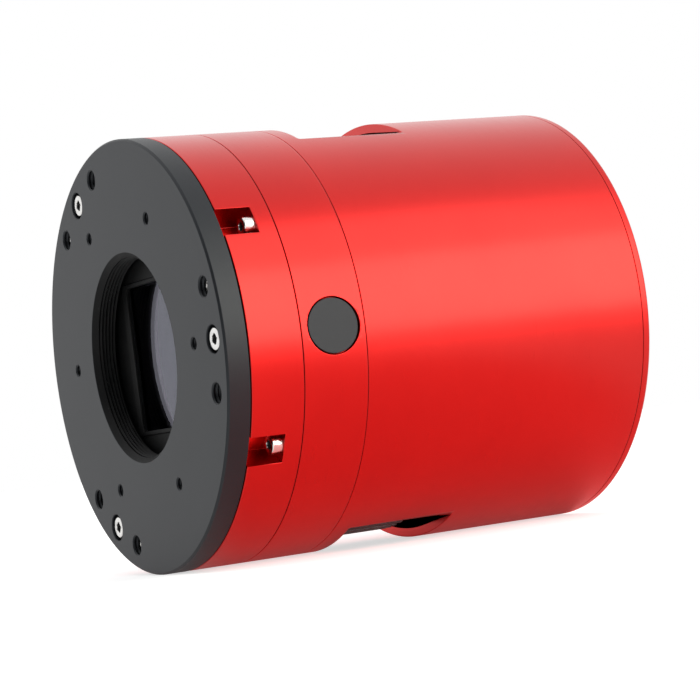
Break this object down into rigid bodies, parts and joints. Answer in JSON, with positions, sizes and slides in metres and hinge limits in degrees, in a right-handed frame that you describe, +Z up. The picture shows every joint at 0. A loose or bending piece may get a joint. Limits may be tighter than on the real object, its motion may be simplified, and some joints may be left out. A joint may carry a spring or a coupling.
{
  "type": "cooled astronomy camera",
  "caption": "Round cooled astronomy camera with a black tilt plate and M42 socket, a window over the sensor, a red finned and vented housing, a rear fan grille and sockets.",
  "frame": {"origin": "centre of the front mounting face on the optical axis, in the mouth of the M42 socket", "axes": "+Y along the optical axis from the front face to the rear cover, +X towards the desiccant port, +Z up through one of the two vents"},
  "size_m": [0.09, 0.098, 0.09],
  "materials": {
    "red_anodised": "satin red anodised, fine turned grain round the axis",
    "black_anodised": "matt black anodised over a fine blast",
    "black_plastic": "moulded matt black",
    "stainless_steel": "bright turned stainless steel",
    "socket_shell": "nickel-plated sheet",
    "grey_aluminium": "dark grey anodised, milled fins",
    "copper": "bright copper",
    "black_rubber": "matt rubber",
    "window_glass": "anti-reflection coated, faint violet reflex",
    "sensor_silicon": "dark violet silicon behind glass",
    "dark_ceramic": "unglazed dark ceramic",
    "white_ceramic": "unglazed white ceramic",
    "circuit_board": "solder-masked glass-fibre board",
    "heater_film": "amber polyimide film"
  },
  "bodies": {
    "housing": {"board_post_1": "stainless_steel", "board_post_2": "stainless_steel", "chamber_o_ring": "black_rubber", "chamber_ring": "red_anodised", "cold_finger": "copper", "cooler_cold_stage": "white_ceramic", "cooler_hot_stage": "white_ceramic", "cover_screw_1": "stainless_steel", "cover_screw_2": "stainless_steel", "cover_screw_3": "stainless_steel", "dc_jack": "black_plastic", "desiccant_tablet_1": "white_ceramic", "desiccant_tablet_2": "white_ceramic", "dew_heater": "heater_film", "fan_frame": "black_plastic", "fan_screw_1": "stainless_steel", "fan_screw_2": "stainless_steel", "fan_screw_3": "stainless_steel", "fan_screw_4": "stainless_steel", "fan_stator": "copper", "front_ring": "red_anodised", "heat_sink": "grey_aluminium", "main_board": "circuit_board", "main_tube": "red_anodised", "memory_chip": "black_plastic", "pocket_screw_1": "stainless_steel", "pocket_screw_2": "stainless_steel", "pocket_screw_3": "stainless_steel", "pocket_screw_4": "stainless_steel", "pocket_screw_5": "stainless_steel", "pocket_screw_6": "stainless_steel", "processor_chip": "black_plastic", "protective_window": "window_glass", "push_screw_2": "stainless_steel", "push_screw_3": "stainless_steel", "rear_cover": "red_anodised", "sensor_board": "circuit_board", "sensor_cover_glass": "window_glass", "sensor_die": "sensor_silicon", "sensor_package": "dark_ceramic", "stack_screw_1": "stainless_steel", "stack_screw_2": "stainless_steel", "stack_screw_3": "stainless_steel", "stack_screw_4": "stainless_steel", "usb_a_sockets": "socket_shell", "usb_b_socket": "socket_shell", "window_gasket": "black_rubber", "window_retainer": "black_anodised"},
    "tilt_plate": {"tilt_plate": "black_anodised", "pull_screw_2": "stainless_steel", "pull_screw_3": "stainless_steel"},
    "push_screw": {"push_screw_1": "stainless_steel"},
    "pull_screw": {"pull_screw_1": "stainless_steel"},
    "fan_rotor": {"fan_rotor": "black_plastic"},
    "desiccant_plug": {"desiccant_plug": "black_anodised", "plug_o_ring": "black_rubber"}
  },
  "joints": [
    {"name": "plate_tilt", "type": "hinge", "parent": "housing", "child": "tilt_plate", "pos_m": [-0.02, 0.005, 0], "axis": [0, 0, -1], "range_deg": [0, 0.5]},
    {"name": "push_screw_turn", "type": "hinge", "parent": "housing", "child": "push_screw", "pos_m": [0.03864, 0.0013, 0.01035], "axis": [0, 1, 0], "range_deg": [0, 264]},
    {"name": "pull_screw_turn", "type": "hinge", "parent": "tilt_plate", "child": "pull_screw", "pos_m": [0.04, 0.0003, 0], "axis": [0, -1, 0], "range_deg": [0, 420]},
    {"name": "fan_spin", "type": "hinge", "parent": "housing", "child": "fan_rotor", "pos_m": [0, 0.09, 0.008], "axis": [0, 1, 0], "continuous": true},
    {"name": "plug_out", "type": "slide", "parent": "housing", "child": "desiccant_plug", "axis": [1, 0, 0], "range_m": [0, 0.02]}
  ],
  "couplings": [
    {"joint": "push_screw_turn", "follows": "plate_tilt", "ratio": 526.32},
    {"joint": "pull_screw_turn", "follows": "plate_tilt", "ratio": 837.76}
  ]
}
